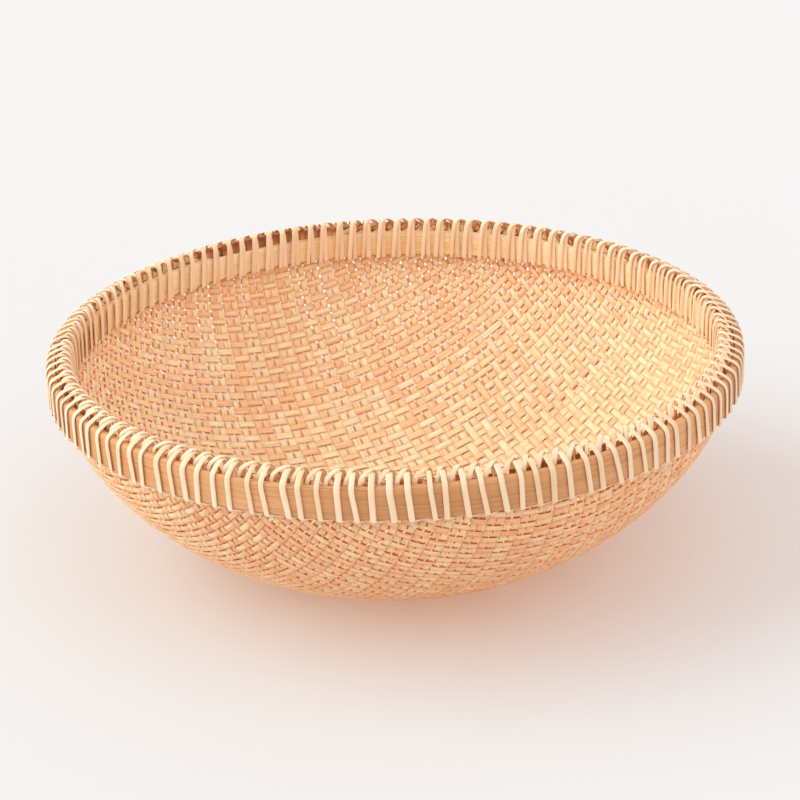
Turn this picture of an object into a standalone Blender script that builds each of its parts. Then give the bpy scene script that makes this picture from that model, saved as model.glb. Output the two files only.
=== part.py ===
"""A round bamboo winnowing basket: a woven bowl gripped between two lashed hoops.

Metres, +Z up. The flat base stands on Z = 0, centred on the Z axis.
"""

import math

import bmesh
import bpy
from mathutils import Vector

# Driving dimensions
OVERALL_RADIUS = 0.125
GAP = 0.0003

STRIP_WIDTH = 0.0022
STRIP_THICKNESS = 0.0005
LASHING_LENGTHS = 8
WRAPS_PER_LENGTH = 16
WRAPS = LASHING_LENGTHS * WRAPS_PER_LENGTH

HOOP_THICKNESS = 0.0026
OUTER_HOOP_TOP = 0.0750
OUTER_HOOP_HEIGHT = 0.0118
INNER_HOOP_DROP = 0.0022
INNER_HOOP_HEIGHT = 0.0092
SHOULDER_IN = 0.0012
SHOULDER_DOWN = 0.0016
LAP_FACETS = 5
LAP_TIP = 0.0004
OUTER_LAP_START = math.radians(236)
INNER_LAP_START = math.radians(98)

MAT_THICKNESS = 0.0012
MAT_EDGE_DROP = 0.0035
BASE_RADIUS = 0.0500
WALL_STEPS = 9
WALL_FULLNESS_OUT = 1.34
WALL_FULLNESS_UP = 1.30

# Each facet of the round pieces carries two wraps, so no strip bends over a corner.
FACETS = WRAPS // 2
FACET_ANGLE = 2 * math.pi / FACETS
WRAP_ANGLE = FACET_ANGLE / 2

# The strips' leans and shifts along the rim
OUTER_LEAN = 0.0010
INNER_SHIFT = 0.0026
TAIL_SHIFT = 0.0020
TAIL_OUT = 0.0010
TAIL_DROP = 0.0034

# Radii across the rim, from the outside in, measured to the middle of a facet
STRIP_STEP = STRIP_THICKNESS + GAP
OUTER_HOOP_OUTSIDE = OVERALL_RADIUS - STRIP_STEP
OUTER_HOOP_INSIDE = OUTER_HOOP_OUTSIDE - HOOP_THICKNESS
MAT_OUTSIDE = OUTER_HOOP_INSIDE - GAP - STRIP_STEP
MAT_INSIDE = MAT_OUTSIDE - MAT_THICKNESS
INNER_HOOP_OUTSIDE = MAT_INSIDE - GAP
INNER_HOOP_INSIDE = INNER_HOOP_OUTSIDE - HOOP_THICKNESS

# Heights of the rim
INNER_HOOP_TOP = OUTER_HOOP_TOP - INNER_HOOP_DROP
OUTER_HOOP_BOTTOM = OUTER_HOOP_TOP - OUTER_HOOP_HEIGHT
INNER_HOOP_BOTTOM = INNER_HOOP_TOP - INNER_HOOP_HEIGHT
MAT_TOP = OUTER_HOOP_TOP - MAT_EDGE_DROP
WALL_UPRIGHT = OUTER_HOOP_BOTTOM + STRIP_THICKNESS

# The holes that the lashings pass through, just under the hoops
SLOT_WIDTH = STRIP_WIDTH + INNER_SHIFT + 2 * GAP
SLOT_BOTTOM = OUTER_HOOP_BOTTOM - STRIP_STEP - GAP
SLOT_TOP = INNER_HOOP_BOTTOM

# Radii of the strips' upright runs
OUTER_RUN = OUTER_HOOP_OUTSIDE + GAP + STRIP_THICKNESS / 2
GROOVE_RUN = OUTER_HOOP_INSIDE - GAP - STRIP_THICKNESS / 2
INNER_RUN = INNER_HOOP_INSIDE - GAP - STRIP_THICKNESS / 2
CROSSING_RUN = INNER_RUN - STRIP_STEP

# The strips' arches over the rim: (wraps on, shift, radius, height over the outer hoop, face)
OUTER_ARCH = (
    (0, 0, OUTER_RUN, -0.0012, (1, 0.4)),
    (0, 0, OUTER_RUN - 0.0020, 0.0021, (0.7, 1)),
    (0, 0, INNER_RUN + 0.0036, 0.0027, (-0.2, 1)),
    (0, 0, INNER_RUN + 0.0012, 0.0013, (-0.8, 1)),
    (0, 0, INNER_RUN, -0.0012, (-1, 0.3)),
)
INNER_ARCH = (
    (0, INNER_SHIFT, GROOVE_RUN, -0.0008, (1, 0.5)),
    (0, INNER_SHIFT + 0.0003, GROOVE_RUN - 0.0020, 0.0022, (0.6, 1)),
    (1, -0.0016, CROSSING_RUN + 0.0016, 0.0033, (-0.2, 1)),
    (1, 0.0002, CROSSING_RUN + 0.0003, 0.0016, (-0.8, 0.8)),
    (1, 0.0009, CROSSING_RUN, -0.0008, (-1, 0.2)),
)

# The corners of a box's faces, its corners counted by radius, then side, then height
BOX_FACES = ((0, 1, 3, 2), (4, 6, 7, 5), (0, 4, 5, 1), (2, 3, 7, 6), (1, 5, 7, 3), (0, 2, 6, 4))

BAMBOO_WEAVE = (0.86, 0.58, 0.32, 1.0)
BAMBOO_TAN = (0.66, 0.42, 0.21, 1.0)
BAMBOO_PALE = (0.84, 0.61, 0.34, 1.0)
RATTAN_CREAM = (0.93, 0.82, 0.60, 1.0)
RATTAN_SHADE = (0.88, 0.74, 0.49, 1.0)


def clear_scene():
    for item in list(bpy.data.objects):
        bpy.data.objects.remove(item)


def plant_material(name, colour, roughness):
    material = bpy.data.materials.new(name)
    material.use_nodes = True
    shader = material.node_tree.nodes["Principled BSDF"]
    shader.inputs["Base Color"].default_value = colour
    shader.inputs["Roughness"].default_value = roughness
    shader.inputs["Metallic"].default_value = 0.0
    return material


def mesh_object(name, points, faces, material, smooth_angle=None):
    mesh = bpy.data.meshes.new(name)
    mesh.from_pydata(points, [], faces)
    solid = bmesh.new()
    solid.from_mesh(mesh)
    bmesh.ops.recalc_face_normals(solid, faces=solid.faces)
    solid.to_mesh(mesh)
    solid.free()
    if smooth_angle:
        mesh.shade_smooth()
        mesh.set_sharp_from_angle(angle=math.radians(smooth_angle))
    if material:
        mesh.materials.append(material)
    item = bpy.data.objects.new(name, mesh)
    bpy.context.scene.collection.objects.link(item)
    return item


def facet_corner(index, radius, height):
    """A corner of the faceted circle whose facets lie at this radius. Between corners, it rounds."""
    angle = index * FACET_ANGLE
    reach = radius / math.cos(FACET_ANGLE / 2)
    return Vector((reach * math.cos(angle), reach * math.sin(angle), height))


def turned_solid(name, outline, material):
    """A solid turned from an outline of (radius, height) that starts and ends on the axis."""
    points = [Vector((0, 0, outline[0][1]))]
    for radius, height in outline[1:-1]:
        points += [facet_corner(index, radius, height) for index in range(FACETS)]
    points.append(Vector((0, 0, outline[-1][1])))
    faces = []
    for index in range(FACETS):
        after = (index + 1) % FACETS
        faces.append((0, 1 + after, 1 + index))
        for ring in range(len(outline) - 3):
            low = 1 + ring * FACETS
            high = low + FACETS
            faces.append((low + index, low + after, high + after, high + index))
        last = len(points) - 1
        faces.append((last, last - FACETS + index, last - FACETS + after))
    return mesh_object(name, points, faces, material, smooth_angle=40)


def swept_solid(name, sections, material):
    """A solid through sections of one count of corners, closed at both ends."""
    points = [corner for section in sections for corner in section]
    sides = len(sections[0])
    faces = [tuple(range(sides))[::-1]]
    for step in range(len(sections) - 1):
        near = sides * step
        far = near + sides
        for side in range(sides):
            beside = (side + 1) % sides
            faces.append((near + side, near + beside, far + beside, far + side))
    faces.append(tuple(range(len(points) - sides, len(points))))
    return mesh_object(name, points, faces, material)


def wall_curve():
    """The bowl's outside from the base's edge to where it stands upright, as (radius, height)."""
    curve = []
    for step in range(WALL_STEPS + 1):
        angle = math.pi / 2 * step / WALL_STEPS
        out = math.sin(angle) ** WALL_FULLNESS_OUT
        up = 1 - max(0.0, math.cos(angle)) ** WALL_FULLNESS_UP
        curve.append((BASE_RADIUS + (MAT_OUTSIDE - BASE_RADIUS) * out, WALL_UPRIGHT * up))
    return curve


def inset_curve(curve, depth):
    """The same curve moved inwards, flat at its first point and upright at its last."""
    inset = []
    for step, (radius, height) in enumerate(curve):
        before = curve[max(0, step - 1)]
        after = curve[min(len(curve) - 1, step + 1)]
        along = Vector((after[0] - before[0], after[1] - before[1])).normalized()
        if step == 0:
            along = Vector((1, 0))
        if step == len(curve) - 1:
            along = Vector((0, 1))
        inset.append((radius - along.y * depth, height + along.x * depth))
    return inset


def rim_point(wrap, shift, radius, height):
    """The place of a wrap on its facet, moved along the rim by the shift."""
    facet = (wrap // 2) % FACETS
    middle = (facet + 0.5) * FACET_ANGLE
    side = (wrap % 2 - 0.5) * WRAP_ANGLE
    outward = Vector((math.cos(middle), math.sin(middle), 0))
    along = Vector((-math.sin(middle), math.cos(middle), 0))
    return outward * radius + along * (radius * math.tan(side) + shift) + Vector((0, 0, height))


def slot_cutter():
    """A box for each wrap, across the mat just under the hoops."""
    points = []
    faces = []
    for wrap in range(WRAPS):
        first = len(points)
        for radius in (INNER_HOOP_INSIDE, OUTER_HOOP_INSIDE):
            for side in (-1, 1):
                shift = INNER_SHIFT / 2 + side * SLOT_WIDTH / 2
                for height in (SLOT_BOTTOM, SLOT_TOP):
                    points.append(rim_point(wrap, shift, radius, height))
        for face in BOX_FACES:
            faces.append(tuple(first + corner for corner in face))
    cutter = mesh_object("slot_cutter", points, faces, None)
    cutter.hide_render = True
    cutter.display_type = "WIRE"
    return cutter


def woven_mat(material):
    outside = wall_curve()
    inside = inset_curve(outside, MAT_THICKNESS)
    outline = [(0, 0)] + outside + [(MAT_OUTSIDE, MAT_TOP), (MAT_INSIDE, MAT_TOP)]
    outline += inside[::-1] + [(0, MAT_THICKNESS)]
    mat = turned_solid("woven_mat", outline, material)
    slots = mat.modifiers.new("lashing_holes", "BOOLEAN")
    slots.operation = "DIFFERENCE"
    slots.solver = "EXACT"
    slots.object = slot_cutter()
    return mat


def hoop_outline(low, high, bottom, top, shoulder_outside):
    """A band's section, its top sloped off on the side away from the mat. A thin end is lower."""
    cut = min(SHOULDER_IN, (high - low) * 0.45)
    peak = top - SHOULDER_DOWN * (1 - cut / SHOULDER_IN)
    side = top - SHOULDER_DOWN
    if shoulder_outside:
        return ((low, bottom), (high, bottom), (high, side), (high - cut, peak), (low, peak))
    return ((low, bottom), (high, bottom), (high, peak), (low + cut, peak), (low, side))


def lapped_hoop(name, inside, bottom, top, lap_start, shoulder_outside, material):
    """A flat band bent round, its two tapered ends lying one over the other."""
    outside = inside + HOOP_THICKNESS
    first = round(lap_start / FACET_ANGLE)
    nudge = GAP / inside / FACET_ANGLE
    taper = HOOP_THICKNESS - GAP - 2 * LAP_TIP

    def section(place, low, high):
        outline = hoop_outline(low, high, bottom, top, shoulder_outside)
        return [facet_corner(place, radius, height) for radius, height in outline]

    sections = []
    for step in range(LAP_FACETS + 1):
        sections.append(section(first + step, inside, inside + LAP_TIP + taper * step / LAP_FACETS))
    sections.append(section(first + LAP_FACETS + nudge, inside, outside))
    for place in range(first + LAP_FACETS + 1, first + FACETS):
        sections.append(section(place, inside, outside))
    end = first + FACETS
    sections.append(section(end - 2 * nudge, inside, outside))
    for step in range(LAP_FACETS + 1):
        back = nudge if step == 0 else 0
        low = inside + LAP_TIP + GAP + taper * step / LAP_FACETS
        sections.append(section(end + step - back, low, outside))
    return swept_solid(name, sections, material)


def strip_section(wrap, shift, radius, height, face):
    """A strip's section. Its face, (outwards, upwards), turns away from what it binds."""
    half = STRIP_THICKNESS / 2
    corners = []
    for away, side in ((1, -1), (1, 1), (-1, 1), (-1, -1)):
        corner_radius = radius + away * face[0] * half
        corner_height = height + away * face[1] * half
        corners.append((wrap, shift + side * STRIP_WIDTH / 2, corner_radius, corner_height))
    return [rim_point(*corner) for corner in corners]


def arch_sections(wrap, arch):
    """A strip's sections over the top of the rim."""
    sections = []
    for wraps_on, shift, radius, height, face in arch:
        sections.append(strip_section(wrap + wraps_on, shift, radius, OUTER_HOOP_TOP + height, face))
    return sections


def outer_lashing(number, material):
    """Wraps over both hoops, each wrap one place clockwise of the last, with a short tail."""
    under = OUTER_HOOP_BOTTOM - GAP - STRIP_THICKNESS / 2
    under_inner = INNER_HOOP_BOTTOM - GAP - STRIP_THICKNESS / 2
    behind = OUTER_HOOP_INSIDE
    sections = []
    last = (number - 1) * WRAPS_PER_LENGTH
    for wrap in range(last + WRAPS_PER_LENGTH - 1, last - 1, -1):
        sections.append(strip_section(wrap, OUTER_LEAN, OUTER_RUN, under, (1, -1)))
        sections += arch_sections(wrap, OUTER_ARCH)
        sections.append(strip_section(wrap, 0, INNER_RUN, under_inner, (-1, -1)))
        sections.append(strip_section(wrap, 0, behind, under, (0, -1)))
    sections.append(strip_section(last, TAIL_SHIFT, behind + TAIL_OUT, under - TAIL_DROP, (1, 0)))
    return swept_solid(f"outer_lashing_{number}", sections, material)


def inner_lashing(number, material):
    """Wraps over the inner hoop and the mat, each wrap one place anticlockwise of the last.
    Each crosses over the outer lashing at the top and comes down beside it."""
    under = INNER_HOOP_BOTTOM - GAP - STRIP_THICKNESS / 2
    sections = []
    first = (number - 1) * WRAPS_PER_LENGTH
    for wrap in range(first, first + WRAPS_PER_LENGTH):
        sections.append(strip_section(wrap, INNER_SHIFT, GROOVE_RUN, under, (1, -1)))
        sections += arch_sections(wrap, INNER_ARCH)
        sections.append(strip_section(wrap + 1, INNER_SHIFT, CROSSING_RUN, under, (-1, -1)))
    return swept_solid(f"inner_lashing_{number}", sections, material)


def build():
    clear_scene()
    woven_mat(plant_material("bamboo_weave", BAMBOO_WEAVE, 0.55))
    tan = plant_material("bamboo_tan", BAMBOO_TAN, 0.50)
    pale = plant_material("bamboo_pale", BAMBOO_PALE, 0.50)
    lapped_hoop(
        "outer_hoop", OUTER_HOOP_INSIDE, OUTER_HOOP_BOTTOM, OUTER_HOOP_TOP, OUTER_LAP_START, True, tan
    )
    lapped_hoop(
        "inner_hoop", INNER_HOOP_INSIDE, INNER_HOOP_BOTTOM, INNER_HOOP_TOP, INNER_LAP_START, False, pale
    )
    cream = plant_material("rattan_outer", RATTAN_CREAM, 0.45)
    shade = plant_material("rattan_inner", RATTAN_SHADE, 0.45)
    for number in range(1, LASHING_LENGTHS + 1):
        outer_lashing(number, cream)
        inner_lashing(number, shade)


build()
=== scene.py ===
"""The looks of a bamboo winnowing basket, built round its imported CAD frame. Metres, +Z up."""

import math

import bpy
import numpy as np
from mathutils import Matrix, Vector


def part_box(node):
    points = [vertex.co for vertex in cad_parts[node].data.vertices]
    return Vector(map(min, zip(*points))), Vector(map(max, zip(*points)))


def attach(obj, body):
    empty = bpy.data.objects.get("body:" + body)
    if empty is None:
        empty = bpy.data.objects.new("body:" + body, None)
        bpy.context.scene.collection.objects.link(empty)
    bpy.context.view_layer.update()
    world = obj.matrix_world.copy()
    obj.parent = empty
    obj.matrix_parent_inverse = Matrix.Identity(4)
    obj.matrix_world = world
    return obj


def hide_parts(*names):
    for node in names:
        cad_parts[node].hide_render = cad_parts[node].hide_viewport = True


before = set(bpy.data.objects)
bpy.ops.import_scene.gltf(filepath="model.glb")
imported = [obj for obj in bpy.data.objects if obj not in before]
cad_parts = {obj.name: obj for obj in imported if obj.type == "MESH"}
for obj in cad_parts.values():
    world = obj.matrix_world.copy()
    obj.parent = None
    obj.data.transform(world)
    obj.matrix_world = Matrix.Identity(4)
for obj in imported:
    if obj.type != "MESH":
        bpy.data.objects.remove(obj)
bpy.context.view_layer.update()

MM = 0.001
CAD_GAP = 0.3 * MM
STRIP_THICKNESS = 0.5 * MM
STRIP_STEP = STRIP_THICKNESS + CAD_GAP

# The lashing's places round the rim
LENGTHS = sum(name.startswith("outer_lashing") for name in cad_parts)
WRAPS_PER_LENGTH = 16
WRAPS = LENGTHS * WRAPS_PER_LENGTH
WRAP_ANGLE = 2 * math.pi / WRAPS

# The rim and the mat, read from the frame. The CAD's round pieces have facets two wraps wide.
FACET_REACH = math.cos(WRAP_ANGLE)
OUTER_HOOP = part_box("outer_hoop")
INNER_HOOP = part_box("inner_hoop")
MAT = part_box("woven_mat")
HOOP_THICKNESS = 2.6 * MM
OUTER_HOOP_OUTSIDE = OUTER_HOOP[1].x * FACET_REACH
OUTER_HOOP_INSIDE = OUTER_HOOP_OUTSIDE - HOOP_THICKNESS
INNER_HOOP_OUTSIDE = INNER_HOOP[1].x * FACET_REACH
INNER_HOOP_INSIDE = INNER_HOOP_OUTSIDE - HOOP_THICKNESS
HOOP_TOP = OUTER_HOOP[1].z
HOOP_BOTTOM = OUTER_HOOP[0].z
INNER_TOP = INNER_HOOP[1].z
INNER_BOTTOM = INNER_HOOP[0].z

# The hoops' sections, their lapped ends and how much they sway. A lap's jump is an angle.
SHOULDER_IN = 1.2 * MM
SHOULDER_DOWN = 1.6 * MM
THIN_SHOULDER = 0.45
EDGE_ROUNDING = 0.35 * MM
CORNER_STEPS = 4
OUTER_LAP_AT = math.radians(238)
INNER_LAP_AT = math.radians(98)
LAP_LENGTH = math.radians(28)
LAP_TIP = 0.4 * MM
LAP_JUMP = 0.001
LAP_STEPS = 60
ROUND_STEPS = 620
HOOP_SWAY = 0.10 * MM
HOOP_RIPPLE = 0.06 * MM
SWAY_AT_TOP = 0.6
HOOP_TONE_WAVES = 5
HOOP_GRAIN_THROUGH = 3

# The bowl's outside, as part.py turns it
MAT_OUTSIDE = MAT[1].x * FACET_REACH
MAT_TOP = MAT[1].z
MAT_THICKNESS = 1.2 * MM
BASE_RADIUS = 50 * MM
WALL_UPRIGHT = HOOP_BOTTOM + STRIP_THICKNESS
WALL_FULLNESS_OUT = 1.34
WALL_FULLNESS_UP = 1.30
PROFILE_STEPS = 400
PROFILE_ABOVE_MAT = 5 * MM
FLAT_SHARE = 0.98

# The weave: two crossing sets of splints, closer together and slimmer towards the mat's edges
MIDDLE_PITCH = 3.6 * MM
PITCH_REACH = 900 * MM
MIDDLE_FILL = 0.95
EDGE_FILL = 0.69
EDGE_FILL_FROM = 0.9
WIDTH_SPREAD = (0.90, 1.05)
PLACE_SPREAD = 0.05
SPLINT_THICKNESS = 0.38 * MM
SPLINT_LIFT = 0.36 * MM
CROSSING_REACH = 0.31
ENDS_ABOVE_MAT = 4.5 * MM
ENDS_RAGGED = 1.7 * MM
FLOAT_CROWN = 0.12
WALL_RELIEF = 1.6
SHORTEST_SPLINT = 6 * MM
WANDER = 0.12 * MM
WANDER_LENGTH = 70 * MM
WANDER_PHASE = 6.3
ACROSS_TURN = math.radians(24)

# A splint's tone on its faces, painted darker on its outer face and edges as painted shade, and its
# depth,
# which sets painted shade: from 0 where it lies on top to 1 where it lies under, and more at its
# cut ends
TONE_OF_SPLINT = 0.6
# Painted shade: the outer faces, on the bowl's shaded outside, take a darker, more orange tone than
# the lit inner faces
OUTSIDE_SHADE_TONE = 0.4
# Painted shade: the edges, in the gaps between splints, take a darker tone
EDGE_SHADE_TONE = 0.2
# Painted shade depths: the edges, and the faces that lie under a crossing splint, sit in shade
EDGE_SHADE_DEPTH = 0.45
INNER_SHADE_DEPTH = 0.4
# Painted shade: the cut ends lie deep in the rim's shaded groove
CUT_END_DEPTH = 3.0

# A splint's section as (side, outwards), and which of its corners lie on which face
SPLINT_SECTION = ((-0.5, 0.0), (-0.33, 0.5), (0.33, 0.5), (0.5, 0.0), (0.33, -0.5), (-0.33, -0.5))
EDGES = [0, 3]
OUTER_FACE = [1, 2]
INNER_FACE = [4, 5]

# The lashing's runs and bends
OUTER_RUN = OUTER_HOOP_OUTSIDE + CAD_GAP + STRIP_THICKNESS / 2
GROOVE_RUN = OUTER_HOOP_INSIDE - CAD_GAP - STRIP_THICKNESS / 2
INNER_RUN = INNER_HOOP_INSIDE - CAD_GAP - STRIP_THICKNESS / 2
CROSSING_RUN = INNER_RUN - STRIP_STEP
UNDER_OUTER = HOOP_BOTTOM - HOOP_TOP - CAD_GAP - STRIP_THICKNESS / 2
UNDER_INNER = INNER_BOTTOM - HOOP_TOP - CAD_GAP - STRIP_THICKNESS / 2
OUTER_LEAN = 1.0 * MM
INNER_SHIFT = 2.2 * MM
FOLD = 0.7 * MM
CURVE = 4 * MM
BEND_STEPS = 4
SAME_PLACE = 1e-6
TONE_MARKS = 24

# How far the wraps stray along the rim and lean, and how wide they are, in millimetres
SHIFT_SPREAD = 0.36
LEAN_SPREAD = 0.55
OUTER_WIDTHS = (1.7, 2.3)
INNER_WIDTHS = (1.35, 1.85)

# A wrap's corners: (wraps on, share of the lean, shift along the rim, radius, height over the
# outer hoop's top, face, how far the bend reaches). The face is (outwards, upwards).
OUTER_ROUTE = (
    (0, 1.0, 0, OUTER_RUN, UNDER_OUTER, (1, -1), FOLD),
    (0, 0.5, 0, OUTER_RUN + 0.1 * MM, -6.5 * MM, (1, 0), CURVE),
    (0, 0.0, 0, OUTER_RUN + 0.2 * MM, -1.7 * MM, (1, 0.1), CURVE),
    (0, 0.0, 0, OUTER_RUN - 0.7 * MM, 0.6 * MM, (0.8, 0.7), CURVE),
    (0, 0.0, 0, INNER_RUN + 3.6 * MM, 2.8 * MM, (0.1, 1), CURVE),
    (0, 0.0, 0, INNER_RUN + 1.0 * MM, 2.2 * MM, (-0.6, 1), CURVE),
    (0, 0.0, 0, INNER_RUN, -1.2 * MM, (-1, 0.3), CURVE),
    (0, 0.0, 0, INNER_RUN, UNDER_INNER, (-1, -1), FOLD),
    (0, 0.0, 0, OUTER_HOOP_INSIDE, UNDER_OUTER, (0, -1), 2 * FOLD),
)
INNER_ROUTE = (
    (0, 0.0, INNER_SHIFT, GROOVE_RUN, UNDER_INNER, (1, -1), FOLD),
    (0, 0.0, INNER_SHIFT, GROOVE_RUN, 0.4 * MM, (1, 0.2), CURVE),
    (0, 0.0, INNER_SHIFT + 1.3 * MM, INNER_HOOP_OUTSIDE + 0.5 * MM, 2.2 * MM, (0.8, 0.8), CURVE),
    (1, 0.0, -0.9 * MM, CROSSING_RUN + 2.7 * MM, 3.5 * MM, (0.0, 1), CURVE),
    (1, 0.0, 0.7 * MM, CROSSING_RUN + 0.8 * MM, 2.8 * MM, (-0.7, 0.8), CURVE),
    (1, 0.0, 1.2 * MM, CROSSING_RUN, -0.8 * MM, (-1, 0.2), CURVE),
    (1, 0.0, INNER_SHIFT, CROSSING_RUN, UNDER_INNER, (-1, -1), FOLD),
)

# The tip of a length's tail, below the outer hoop
TAIL = (0, 0.0, 2.0 * MM, OUTER_HOOP_INSIDE + 1.0 * MM, UNDER_OUTER - 3.4 * MM, (1, 0), FOLD)

# A strip's section as (across, away from what it binds)
STRIP_SECTION = (
    (-0.5, -0.1), (-0.44, 0.32), (-0.2, 0.5), (0.2, 0.5),
    (0.44, 0.32), (0.5, -0.1), (0.3, -0.5), (-0.3, -0.5),
)

# The camera
CAMERA_DISTANCE = 1.2
CAMERA_ELEVATION = math.radians(22.5)
CAMERA_ROLL = math.radians(1.9)
CAMERA_LENS = 150.4
AIM_BELOW_RIM = 21.1 * MM
AIM_RIGHT = 1.33 * MM
CAMERA_NEAR = 50 * MM

# The fibres of bamboo and rattan: noise scales, and the noise values between which each shows
FIBRE_SCALE = 4200.0
STREAK_SCALE = 1400.0
PATCH_SCALE = 45.0
PATCH_ALONG = 0.5
FIBRE_RANGE = (0.5, 0.8)
STREAK_RANGE = (0.48, 0.75)
PATCH_RANGE = (0.45, 0.75)
ROUGH_RANGE = (0.3, 0.8)
SMOOTHER = 0.08
ROUGHER = 0.12
SPECULAR = 0.35

# How dark the painted shade makes a splint's depths and its cut ends in the groove, and how light
# spreads inside a splint
LOW_SHADE_RANGE = (0.0, 1.0)
CUT_END_SHADE_RANGE = (1.5, CUT_END_DEPTH)
CUT_END_SHADE_SHARE = 0.9
SUBSURFACE_TINT = (1.0, 0.55, 0.3)
SUBSURFACE_DEPTH = 1.2 * MM

# The floor and the light
FLOOR_SIZE = 8
FLOOR_COLOUR = (0.345, 0.482, 0.538, 1)
FLOOR_GLOW = (0.41, 0.22, 0.15, 1)
FLOOR_ROUGHNESS = 0.7
AMBIENT = 0.97
AMBIENT_TINT = (1.0, 0.995, 0.985, 1)
KEY_FROM = (-0.95, 0.05, 0.65)
KEY_STRENGTH = 2.1
KEY_TINT = (1.0, 0.97, 0.93)
FILL_FROM = (0.6, -0.7, 0.9)
FILL_STRENGTH = 0.3
FILL_TINT = (1.0, 0.98, 0.96)
LIGHT_SPREAD = math.radians(60)

SHARP_ANGLE = math.radians(50)

rng = np.random.default_rng(7)


# ---------------------------------------------------------------- materials

class Nodes:
    """A small builder of material nodes."""

    def __init__(self, name):
        self.material = bpy.data.materials.new(name)
        self.material.use_nodes = True
        self.tree = self.material.node_tree
        self.shader = self.tree.nodes["Principled BSDF"]

    def add(self, kind, **settings):
        node = self.tree.nodes.new(kind)
        for key, value in settings.items():
            setattr(node, key, value)
        return node

    def link(self, source, target):
        self.tree.links.new(source, target)

    def number(self, source, low, high, out_low, out_high):
        """The source's range from low to high, turned into the range from out_low to out_high."""
        node = self.add("ShaderNodeMapRange")
        self.link(source, node.inputs["Value"])
        node.inputs["From Min"].default_value = low
        node.inputs["From Max"].default_value = high
        node.inputs["To Min"].default_value = out_low
        node.inputs["To Max"].default_value = out_high
        return node.outputs["Result"]

    def total(self, first, second):
        node = self.add("ShaderNodeMath", operation="ADD")
        self.link(first, node.inputs[0])
        self.link(second, node.inputs[1])
        return node.outputs[0]

    def mix(self, factor, shade, fixed):
        """The shade turned towards a fixed colour by the factor."""
        node = self.add("ShaderNodeMix", data_type="RGBA")
        self.link(factor, node.inputs[0])
        self.link(shade, node.inputs[6])
        node.inputs[7].default_value = fixed
        return node.outputs[2]

    def ramp(self, source, stops):
        node = self.add("ShaderNodeValToRGB")
        elements = node.color_ramp.elements
        while len(elements) < len(stops):
            elements.new(0.5)
        for element, (place, tint) in zip(elements, stops):
            element.position = place
            element.color = tint
        self.link(source, node.inputs["Fac"])
        return node.outputs["Color"]

    def noise(self, vector, scale, detail):
        node = self.add("ShaderNodeTexNoise")
        self.link(vector, node.inputs["Vector"])
        node.inputs["Scale"].default_value = scale
        node.inputs["Detail"].default_value = detail
        return node.outputs["Fac"]

    def stretched(self, vector, factors):
        node = self.add("ShaderNodeVectorMath", operation="MULTIPLY")
        self.link(vector, node.inputs[0])
        node.inputs[1].default_value = factors
        return node.outputs["Vector"]

    def attribute(self, name):
        return self.add("ShaderNodeAttribute", attribute_name=name)

    def bump(self, height, distance):
        node = self.add("ShaderNodeBump")
        node.inputs["Strength"].default_value = 1.0
        node.inputs["Distance"].default_value = distance
        self.link(height, node.inputs["Height"])
        self.link(node.outputs["Normal"], self.shader.inputs["Normal"])


def colour(red, green, blue):
    """A linear colour from 0 to 255 screen values."""
    return tuple((value / 255) ** 2.2 for value in (red, green, blue)) + (1.0,)


def plant_fibre(name, tones, dark, look):
    """Split bamboo or rattan. Its fibres run along the first part of the grain attribute."""
    n = Nodes(name)
    grain = n.attribute("grain").outputs["Vector"]
    base = n.ramp(n.attribute("tone").outputs["Fac"], tones)
    fibres = n.noise(n.stretched(grain, (look["along"], 1.0, 1.0)), FIBRE_SCALE, 4.0)
    streaks = n.noise(n.stretched(grain, (look["along"], 1.0, 1.0)), STREAK_SCALE, 2.0)
    patches = n.noise(n.stretched(grain, (PATCH_ALONG, 1.0, 1.0)), PATCH_SCALE, 2.0)
    shade = n.mix(n.number(streaks, *STREAK_RANGE, 0.0, look["streaks"]), base, dark)
    shade = n.mix(n.number(fibres, *FIBRE_RANGE, 0.0, look["fibres"]), shade, dark)
    shade = n.mix(n.number(patches, *PATCH_RANGE, 0.0, look["patches"]), shade, dark)
    # Painted shade: darker where a splint lies under another, along its edges, and at its cut ends
    # deep in the groove
    if "low" in look:
        depth = n.attribute("depth").outputs["Fac"]
        shade = n.mix(n.number(depth, *LOW_SHADE_RANGE, 0.0, look["low"]), shade, dark)
        # Painted shade at the cut ends, deep in the rim's groove
        cut = n.number(depth, *CUT_END_SHADE_RANGE, 0.0, CUT_END_SHADE_SHARE)
        shade = n.mix(cut, shade, look["cut_end_shade"])
    if "subsurface" in look:
        n.shader.inputs["Subsurface Weight"].default_value = look["subsurface"]
        n.shader.inputs["Subsurface Radius"].default_value = SUBSURFACE_TINT
        n.shader.inputs["Subsurface Scale"].default_value = SUBSURFACE_DEPTH
    n.link(shade, n.shader.inputs["Base Color"])
    roughness = look["roughness"]
    rough = n.number(fibres, *ROUGH_RANGE, roughness - SMOOTHER, roughness + ROUGHER)
    n.link(rough, n.shader.inputs["Roughness"])
    n.shader.inputs["Specular IOR Level"].default_value = SPECULAR
    n.bump(n.total(fibres, streaks), look["grain_depth"])
    return n.material


def floor_material():
    """A pale floor. Its faint glow stands for the light that comes up under a held basket."""
    n = Nodes("pale_floor")
    n.shader.inputs["Base Color"].default_value = FLOOR_COLOUR
    n.shader.inputs["Emission Color"].default_value = FLOOR_GLOW
    n.shader.inputs["Emission Strength"].default_value = 1.0
    n.shader.inputs["Roughness"].default_value = FLOOR_ROUGHNESS
    return n.material


SPLINT_TONES = (
    (0.0, colour(255, 230, 190)),
    (0.35, colour(255, 219, 173)),
    (0.65, colour(253, 205, 159)),
    (1.0, colour(248, 191, 142)),
)
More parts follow.
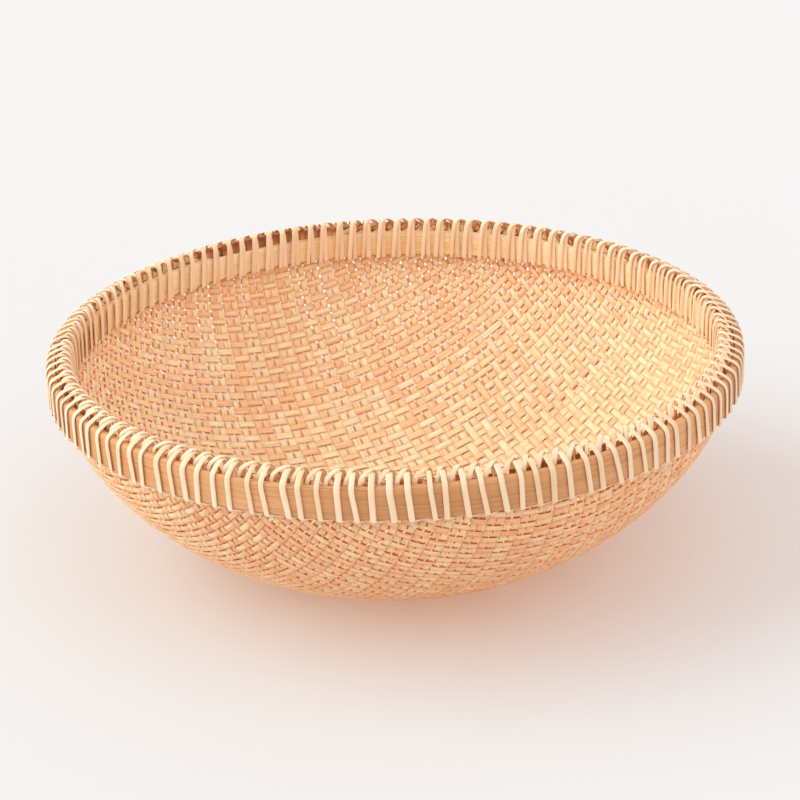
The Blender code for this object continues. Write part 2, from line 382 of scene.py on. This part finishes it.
# The dark colour tints the grain's streaks, fibres and patches, and also paints shade where a
# splint lies under
SPLINT_GRAIN_AND_SHADE = colour(208, 114, 58)
SPLINT_LOOK = {
    "along": 0.02, "streaks": 0.45, "fibres": 0.3, "patches": 0.25,
    # The cut-end colour is painted shade deep in the groove
    "low": 0.6, "cut_end_shade": colour(150, 78, 38), "subsurface": 0.5,
    "roughness": 0.52, "grain_depth": 0.06 * MM,
}
CREAM_TONES = (
    (0.0, colour(240, 208, 175)),
    (0.5, colour(246, 217, 186)),
    (1.0, colour(233, 196, 156)),
)
CREAM_DARK = colour(222, 176, 118)
CREAM_LOOK = {
    "along": 0.03, "streaks": 0.35, "fibres": 0.3, "patches": 0.2,
    "roughness": 0.42, "grain_depth": 0.04 * MM,
}
TAN_TONES = (
    (0.0, colour(226, 170, 118)),
    (0.5, colour(218, 158, 106)),
    (1.0, colour(208, 150, 98)),
)
TAN_DARK = colour(164, 98, 52)
TAN_LOOK = {
    "along": 0.012, "streaks": 0.5, "fibres": 0.35, "patches": 0.3,
    "roughness": 0.5, "grain_depth": 0.05 * MM,
}
PALE_TONES = (
    (0.0, colour(255, 234, 190)),
    (0.5, colour(254, 224, 174)),
    (1.0, colour(250, 212, 158)),
)
PALE_DARK = colour(214, 140, 78)
PALE_LOOK = {
    "along": 0.012, "streaks": 0.4, "fibres": 0.3, "patches": 0.25,
    "roughness": 0.5, "grain_depth": 0.05 * MM,
}


# ---------------------------------------------------------------- meshes

def make_piece(name, points, faces, material, node, attributes):
    """A piece of the object from arrays of quads, riding on the one body in place of a CAD node."""
    mesh = bpy.data.meshes.new(name)
    mesh.vertices.add(len(points))
    mesh.vertices.foreach_set("co", np.asarray(points, np.float32).ravel())
    mesh.loops.add(faces.size)
    mesh.loops.foreach_set("vertex_index", faces.ravel().astype(np.int32))
    mesh.polygons.add(len(faces))
    mesh.polygons.foreach_set("loop_start", np.arange(len(faces), dtype=np.int32) * 4)
    mesh.update(calc_edges=True)
    mesh.validate()
    for key, values in attributes.items():
        values = np.asarray(values, np.float32)
        kind = "FLOAT_VECTOR" if values.ndim == 2 else "FLOAT"
        layer = mesh.attributes.new(key, kind, "POINT")
        layer.data.foreach_set("vector" if values.ndim == 2 else "value", values.ravel())
    mesh.shade_smooth()
    mesh.set_sharp_from_angle(angle=SHARP_ANGLE)
    mesh.materials.append(material)
    piece = bpy.data.objects.new(name, mesh)
    bpy.context.scene.collection.objects.link(piece)
    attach(piece, "root")
    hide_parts(node)


def tube_faces(rings, sides):
    """Quads along a run of rings, closed at both ends by a fan of quads."""
    ring = np.arange(rings - 1)[:, None] * sides
    side = np.arange(sides)[None, :]
    after = (side + 1) % sides
    walls = np.stack([ring + side, ring + after, ring + sides + after, ring + sides + side], -1)
    half = sides // 2
    caps = []
    for start, flip in ((0, True), ((rings - 1) * sides, False)):
        for step in range(half - 1):
            cap = [step, step + 1, sides - 2 - step, sides - 1 - step]
            caps.append([start + corner for corner in (cap[::-1] if flip else cap)])
    return np.concatenate([walls.reshape(-1, 4), np.array(caps)])


# ---------------------------------------------------------------- the bowl's surface

def bowl_profile():
    """The middle of the mat from the centre to the rim: length along it, radius, height, normal."""
    angle = np.linspace(0, math.pi / 2, PROFILE_STEPS)
    radius = BASE_RADIUS + (MAT_OUTSIDE - BASE_RADIUS) * np.sin(angle) ** WALL_FULLNESS_OUT
    height = WALL_UPRIGHT * (1 - np.clip(np.cos(angle), 0, 1) ** WALL_FULLNESS_UP)
    radius = np.concatenate([[0, BASE_RADIUS * FLAT_SHARE], radius[1:], [MAT_OUTSIDE] * 2])
    height = np.concatenate([[0, 0], height[1:], [MAT_TOP, MAT_TOP + PROFILE_ABOVE_MAT]])
    along = np.gradient(radius), np.gradient(height)
    size = np.hypot(*along)
    out, down = along[1] / size, -along[0] / size
    radius = radius - out * MAT_THICKNESS / 2
    height = height - down * MAT_THICKNESS / 2
    length = np.concatenate([[0], np.cumsum(np.hypot(np.diff(radius), np.diff(height)))])
    return length, radius, height, out, down


def mat_reach(profile):
    """How far the mat's edge is from its centre, along the mat."""
    upper = slice(PROFILE_STEPS // 2, None)
    return float(np.interp(MAT_TOP, profile[2][upper], profile[0][upper]))


PROFILE = bowl_profile()
MAT_REACH = mat_reach(PROFILE)


def bowl_points(across, along, lift):
    """Points of the pressed mat from their places on the flat mat, raised outwards by the lift.
    The lift grows up the wall."""
    distance = np.hypot(across, along)
    lift = lift * np.interp(distance, (BASE_RADIUS, 2 * BASE_RADIUS), (1.0, WALL_RELIEF))
    angle = np.arctan2(along, across) + ACROSS_TURN
    length, radius, height, out, down = PROFILE
    reach = np.interp(distance, length, radius) + lift * np.interp(distance, length, out)
    level = np.interp(distance, length, height) + lift * np.interp(distance, length, down)
    return np.stack([reach * np.cos(angle), reach * np.sin(angle), level], -1)


# ---------------------------------------------------------------- the woven mat

def splint_places():
    """Where one set's splints lie, and how far apart they are there."""
    last = -PITCH_REACH / MIDDLE_PITCH * math.log(1 - MAT_REACH / PITCH_REACH)
    count = 2 * int(last)
    index = np.arange(count) - (count - 1) / 2
    place = np.sign(index) * PITCH_REACH * (1 - np.exp(-abs(index) * MIDDLE_PITCH / PITCH_REACH))
    pitch = MIDDLE_PITCH * (1 - abs(place) / PITCH_REACH)
    return place, pitch


def second_set_outside(first, second, first_place, second_place):
    """True where a splint of the second set passes outside one of the first set.
    Splints that run up the wall pass in pairs over and under single ones that run round it."""
    round_is_first = abs(first_place) >= abs(second_place)
    pairs_of_second = (second // 2 + first) % 2 == 0
    pairs_of_first = (first // 2 + second) % 2 == 0
    return np.where(round_is_first, pairs_of_second, ~pairs_of_first)


def weave_splint(number, is_second, place, pitch):
    """One splint: its points, faces, grain, depth and tone, or nothing if it is too short."""
    others = np.arange(len(place))
    own = np.full(len(place), number)
    if is_second:
        outside = second_set_outside(others, own, place, place[number])
    else:
        outside = ~second_set_outside(own, others, place[number], place)
    ends = MAT_REACH + ENDS_ABOVE_MAT - rng.uniform(0.0, ENDS_RAGGED, 2)
    reach = np.sqrt(np.clip(ends ** 2 - place[number] ** 2, 0, None))
    if reach.min() < SHORTEST_SPLINT:
        return None
    marks = np.stack([place - CROSSING_REACH * pitch, place + CROSSING_REACH * pitch], -1).ravel()
    over = np.repeat(np.where(outside, 1.0, -1.0), 2)
    floating = np.stack([over[:-2:2] * over[2::2]] * 2, -1).ravel()
    crown = FLOAT_CROWN * np.concatenate([[1.0], floating, [1.0]])
    lifts = over * (1 + crown)
    kept = (marks > -reach[0]) & (marks < reach[1])
    marks, lifts = marks[kept], lifts[kept]
    marks = np.concatenate([[-reach[0]], marks, [reach[1]]])
    lifts = np.concatenate([[lifts[0]], lifts, [lifts[-1]]])
    fill = np.interp(abs(place[number]), (0, EDGE_FILL_FROM * MAT_REACH), (MIDDLE_FILL, EDGE_FILL))
    width = fill * pitch[number] * rng.uniform(*WIDTH_SPREAD)
    centre = place[number] + rng.uniform(-PLACE_SPREAD, PLACE_SPREAD) * pitch[number]
    phase = rng.uniform(0, WANDER_PHASE)
    centre = centre + WANDER * np.sin(marks / WANDER_LENGTH * 2 * math.pi + phase)
    identity = rng.uniform()
    rings = []
    for side, top in SPLINT_SECTION:
        lift = lifts * SPLINT_LIFT + top * SPLINT_THICKNESS
        edge = centre + side * width
        across, along = (edge, marks) if is_second else (marks, edge)
        rings.append(bowl_points(across, along, lift))
    points = np.stack(rings, 1)
    grain = np.empty_like(points)
    grain[..., 0] = marks[:, None]
    grain[..., 1] = np.array([side for side, _ in SPLINT_SECTION]) * width
    grain[..., 2] = identity
    tone = np.full(points.shape[:2], identity * TONE_OF_SPLINT)
    # Painted shade: darker tones on the outer face, the bowl's shaded outside, and on the edges
    tone[:, OUTER_FACE] += OUTSIDE_SHADE_TONE
    tone[:, EDGES] += EDGE_SHADE_TONE
    # Painted shade, deeper where the splint lies under another, at its edges and at its cut ends
    depth = np.full(points.shape[:2], EDGE_SHADE_DEPTH)
    depth[:, OUTER_FACE] = (0.5 - 0.5 * lifts)[:, None]
    depth[:, INNER_FACE] = INNER_SHADE_DEPTH * (0.5 + 0.5 * lifts)[:, None]
    depth[[0, -1]] = CUT_END_DEPTH
    faces = tube_faces(len(marks), len(SPLINT_SECTION))
    if is_second:
        faces = faces[:, ::-1]
    return points.reshape(-1, 3), faces, grain.reshape(-1, 3), depth.ravel(), tone.ravel()


def woven_mat():
    material = plant_fibre("split_bamboo", SPLINT_TONES, SPLINT_GRAIN_AND_SHADE, SPLINT_LOOK)
    place, pitch = splint_places()
    half = len(place) // 2
    for is_second, set_name in ((False, "round_front"), (True, "round_sides")):
        for part, numbers in (("a", range(half)), ("b", range(half, len(place)))):
            made = [weave_splint(number, is_second, place, pitch) for number in numbers]
            made = [splint for splint in made if splint]
            starts = np.cumsum([0] + [len(splint[0]) for splint in made[:-1]])
            make_piece(
                f"splints_{set_name}_{part}",
                np.concatenate([splint[0] for splint in made]),
                np.concatenate([splint[1] + start for splint, start in zip(made, starts)]),
                material,
                "woven_mat",
                {
                    "grain": np.concatenate([splint[2] for splint in made]),
                    "depth": np.concatenate([splint[3] for splint in made]),
                    "tone": np.concatenate([splint[4] for splint in made]),
                },
            )


# ---------------------------------------------------------------- the hoops

def hoop_section(low, high, bottom, top, shoulder_outside):
    """A band's rounded section as (radius, height), with a broad shoulder away from the mat."""
    thin = min(1.0, (high - low) * THIN_SHOULDER / SHOULDER_IN)
    top = top - SHOULDER_DOWN * (1 - thin)
    edge = (EDGE_ROUNDING * thin, EDGE_ROUNDING * thin)
    shoulder = (SHOULDER_IN * thin, SHOULDER_DOWN * thin)
    outer_top, inner_top = (shoulder, edge) if shoulder_outside else (edge, shoulder)
    corners = (
        (high, bottom, 1, -1, edge),
        (high, top, 1, 1, outer_top),
        (low, top, -1, 1, inner_top),
        (low, bottom, -1, -1, edge),
    )
    outline = []
    for turn, (radius, height, out, up, (reach_in, reach_up)) in enumerate(corners):
        for step in range(CORNER_STEPS + 1):
            angle = (turn - 1 + step / CORNER_STEPS) * math.pi / 2
            outline.append((
                radius + (math.cos(angle) - out) * reach_in,
                height + (math.sin(angle) - up) * reach_up,
            ))
    return outline


def lapped_hoop(name, inside, bottom, top, lap_at, shoulder_outside, material):
    """The band from its inner tapered end, once round, and on over that end to its outer one."""
    outside = inside + HOOP_THICKNESS
    taper = HOOP_THICKNESS - CAD_GAP - 2 * LAP_TIP
    angles = np.concatenate([
        np.linspace(0, LAP_LENGTH, LAP_STEPS),
        np.linspace(LAP_LENGTH + 3 * LAP_JUMP, 2 * math.pi - 4 * LAP_JUMP, ROUND_STEPS),
        np.linspace(2 * math.pi - LAP_JUMP, 2 * math.pi + LAP_LENGTH, LAP_STEPS),
    ])
    points, grain = [], []
    for angle in angles:
        low, high = inside, outside
        if angle <= LAP_LENGTH:
            high = inside + LAP_TIP + taper * angle / LAP_LENGTH
        elif angle >= 2 * math.pi - 2 * LAP_JUMP:
            part = max(0.0, angle - 2 * math.pi) / LAP_LENGTH
            low = inside + LAP_TIP + CAD_GAP + taper * part
        sway = HOOP_SWAY * math.sin(3 * angle + 1.3) + HOOP_RIPPLE * math.sin(11 * angle)
        lifted = top + SWAY_AT_TOP * sway
        section = hoop_section(low, high, bottom + sway, lifted, shoulder_outside)
        turn = angle + lap_at
        for radius, height in section:
            points.append((radius * math.cos(turn), radius * math.sin(turn), height))
            through = (radius - inside) * HOOP_GRAIN_THROUGH
            grain.append((angle * inside, height - bottom, through))
    faces = tube_faces(len(angles), len(section))
    tone = np.repeat(0.5 + 0.5 * np.sin(HOOP_TONE_WAVES * angles + lap_at), len(section))
    attributes = {"grain": np.array(grain), "tone": tone}
    node = name.removesuffix("_band")
    make_piece(name, np.array(points), faces, material, node, attributes)


def hoops():
    tan_bamboo = plant_fibre("tan_bamboo", TAN_TONES, TAN_DARK, TAN_LOOK)
    pale_bamboo = plant_fibre("pale_bamboo", PALE_TONES, PALE_DARK, PALE_LOOK)
    lapped_hoop(
        "outer_hoop_band", OUTER_HOOP_INSIDE, HOOP_BOTTOM, HOOP_TOP, OUTER_LAP_AT,
        True, tan_bamboo,
    )
    lapped_hoop(
        "inner_hoop_band", INNER_HOOP_INSIDE, INNER_BOTTOM, INNER_TOP, INNER_LAP_AT,
        False, pale_bamboo,
    )


# ---------------------------------------------------------------- the lashing

def rim_place(wrap, shift, radius, height):
    """A point at a wrap, moved along the rim by the shift and up from the outer hoop's top."""
    angle = (wrap + 0.5) * WRAP_ANGLE
    outward = np.array((math.cos(angle), math.sin(angle), 0))
    along = np.array((-math.sin(angle), math.cos(angle), 0))
    return outward * radius + along * shift + np.array((0, 0, HOOP_TOP + height))


def rim_direction(wrap, outward, upward):
    """A unit direction at a wrap, from how far it points outwards and upwards."""
    angle = (wrap + 0.5) * WRAP_ANGLE
    direction = np.array((math.cos(angle) * outward, math.sin(angle) * outward, upward))
    return direction / np.linalg.norm(direction)


def route_corner(corner, wrap, wraps, run):
    """A row of a strip's place, face and width, and how far its bend reaches."""
    ahead, lean_share, shift, radius, height, face, bend = corner
    own = wraps[(wrap + ahead) % WRAPS]
    shift = shift + own["shift"] + lean_share * own["lean"]
    place = rim_place(wrap + ahead, shift, radius, height)
    direction = rim_direction(wrap + ahead, *face)
    return np.concatenate([place, direction, [own[run]]]), bend


def between(start, end, reach):
    """The row this far from the start of a stretch, or at its middle if that is nearer."""
    length = np.linalg.norm((end - start)[:3])
    return start + (end - start) * min(0.5, reach / length)


def bent_path(corners):
    """Rows along a strip's route with each corner bent round."""
    rows = [corners[0][0]]
    for (before, _), (corner, bend), (after, _) in zip(corners, corners[1:], corners[2:]):
        start = between(corner, before, bend)
        end = between(corner, after, bend)
        for step in range(BEND_STEPS + 1):
            part = step / BEND_STEPS
            rows.append((1 - part) ** 2 * start + 2 * part * (1 - part) * corner + part ** 2 * end)
    rows.append(corners[-1][0])
    rows = np.array(rows)
    steps = np.linalg.norm(np.diff(rows[:, :3], axis=0), axis=1)
    return rows[np.concatenate([[True], steps > SAME_PLACE])]


def strip_mesh(rows, seed):
    """A crowned strip along rows of place, face and width."""
    places, fronts, widths = rows[:, :3], rows[:, 3:6], rows[:, 6]
    along = np.gradient(places, axis=0)
    along /= np.linalg.norm(along, axis=1)[:, None]
    side = np.cross(along, fronts)
    side /= np.linalg.norm(side, axis=1)[:, None]
    face = np.cross(side, along)
    run = np.concatenate([[0], np.cumsum(np.linalg.norm(np.diff(places, axis=0), axis=1))])
    points, grain = [], []
    for across, up in STRIP_SECTION:
        points.append(places + side * (across * widths)[:, None] + face * (up * STRIP_THICKNESS))
        grain.append(np.stack([run, across * widths, np.full(len(rows), seed)], -1))
    points = np.stack(points, 1).reshape(-1, 3)
    grain = np.stack(grain, 1).reshape(-1, 3)
    return points, tube_faces(len(rows), len(STRIP_SECTION))[:, ::-1], grain


def lashing_piece(name, corners, material):
    """One length of strip from its route's corners."""
    rows = bent_path(corners)
    points, quads, grain = strip_mesh(rows, rng.uniform())
    marks = np.linspace(0, 1, TONE_MARKS)
    tones = np.interp(np.linspace(0, 1, len(rows)), marks, rng.uniform(0, 1, TONE_MARKS))
    attributes = {"grain": grain, "tone": np.repeat(tones, len(STRIP_SECTION))}
    make_piece(name, points, quads, material, name.removesuffix("_strip"), attributes)


def lashings():
    material = plant_fibre("split_rattan", CREAM_TONES, CREAM_DARK, CREAM_LOOK)
    wraps = []
    for _ in range(WRAPS):
        wraps.append({
            "shift": rng.normal(0, SHIFT_SPREAD) * MM,
            "lean": OUTER_LEAN + rng.normal(0, LEAN_SPREAD) * MM,
            "outer": rng.uniform(*OUTER_WIDTHS) * MM,
            "inner": rng.uniform(*INNER_WIDTHS) * MM,
        })
    for number in range(1, LENGTHS + 1):
        last = (number - 1) * WRAPS_PER_LENGTH
        corners = []
        for wrap in range(last + WRAPS_PER_LENGTH - 1, last - 1, -1):
            corners += [route_corner(corner, wrap, wraps, "outer") for corner in OUTER_ROUTE]
        corners.append(route_corner(TAIL, last, wraps, "outer"))
        lashing_piece(f"outer_lashing_{number}_strip", corners, material)
        corners = []
        for wrap in range(last, last + WRAPS_PER_LENGTH):
            corners += [route_corner(corner, wrap, wraps, "inner") for corner in INNER_ROUTE]
        lashing_piece(f"inner_lashing_{number}_strip", corners, material)


# ---------------------------------------------------------------- the stage

def stage():
    bpy.ops.mesh.primitive_plane_add(size=FLOOR_SIZE)
    floor = bpy.context.object
    floor.name = "floor"
    floor.data.materials.append(floor_material())


def soft_light(name, towards, strength, tint):
    """A broad far light that shines from this direction."""
    lamp = bpy.data.lights.new(name, "SUN")
    lamp.energy = strength
    lamp.angle = LIGHT_SPREAD
    lamp.color = tint
    item = bpy.data.objects.new(name, lamp)
    item.rotation_euler = Vector(towards).to_track_quat("Z", "Y").to_euler()
    bpy.context.scene.collection.objects.link(item)


def lighting():
    world = bpy.data.worlds.new("studio")
    bpy.context.scene.world = world
    world.use_nodes = True
    background = world.node_tree.nodes["Background"]
    background.inputs["Color"].default_value = AMBIENT_TINT
    background.inputs["Strength"].default_value = AMBIENT
    soft_light("key", KEY_FROM, KEY_STRENGTH, KEY_TINT)
    soft_light("fill", FILL_FROM, FILL_STRENGTH, FILL_TINT)
    bpy.context.scene.view_settings.view_transform = "Standard"


def camera():
    """The photograph's viewing angle, turned a little clockwise about the line of sight."""
    lens = bpy.data.cameras.new("camera")
    lens.lens = CAMERA_LENS
    lens.clip_start = CAMERA_NEAR
    item = bpy.data.objects.new("camera", lens)
    back = Vector((0, -math.cos(CAMERA_ELEVATION), math.sin(CAMERA_ELEVATION)))
    up = Vector((0, math.sin(CAMERA_ELEVATION), math.cos(CAMERA_ELEVATION)))
    rim_centre = Vector((0, 0, HOOP_TOP))
    place = rim_centre + back * CAMERA_DISTANCE
    target = rim_centre - up * AIM_BELOW_RIM + Vector((AIM_RIGHT, 0, 0))
    look = (target - place).to_track_quat("-Z", "Y").to_matrix().to_4x4()
    item.matrix_world = Matrix.Translation(place) @ look @ Matrix.Rotation(-CAMERA_ROLL, 4, "Z")
    bpy.context.scene.collection.objects.link(item)
    bpy.context.scene.camera = item


camera()
stage()
lighting()
woven_mat()
hoops()
lashings()

bpy.context.view_layer.update()
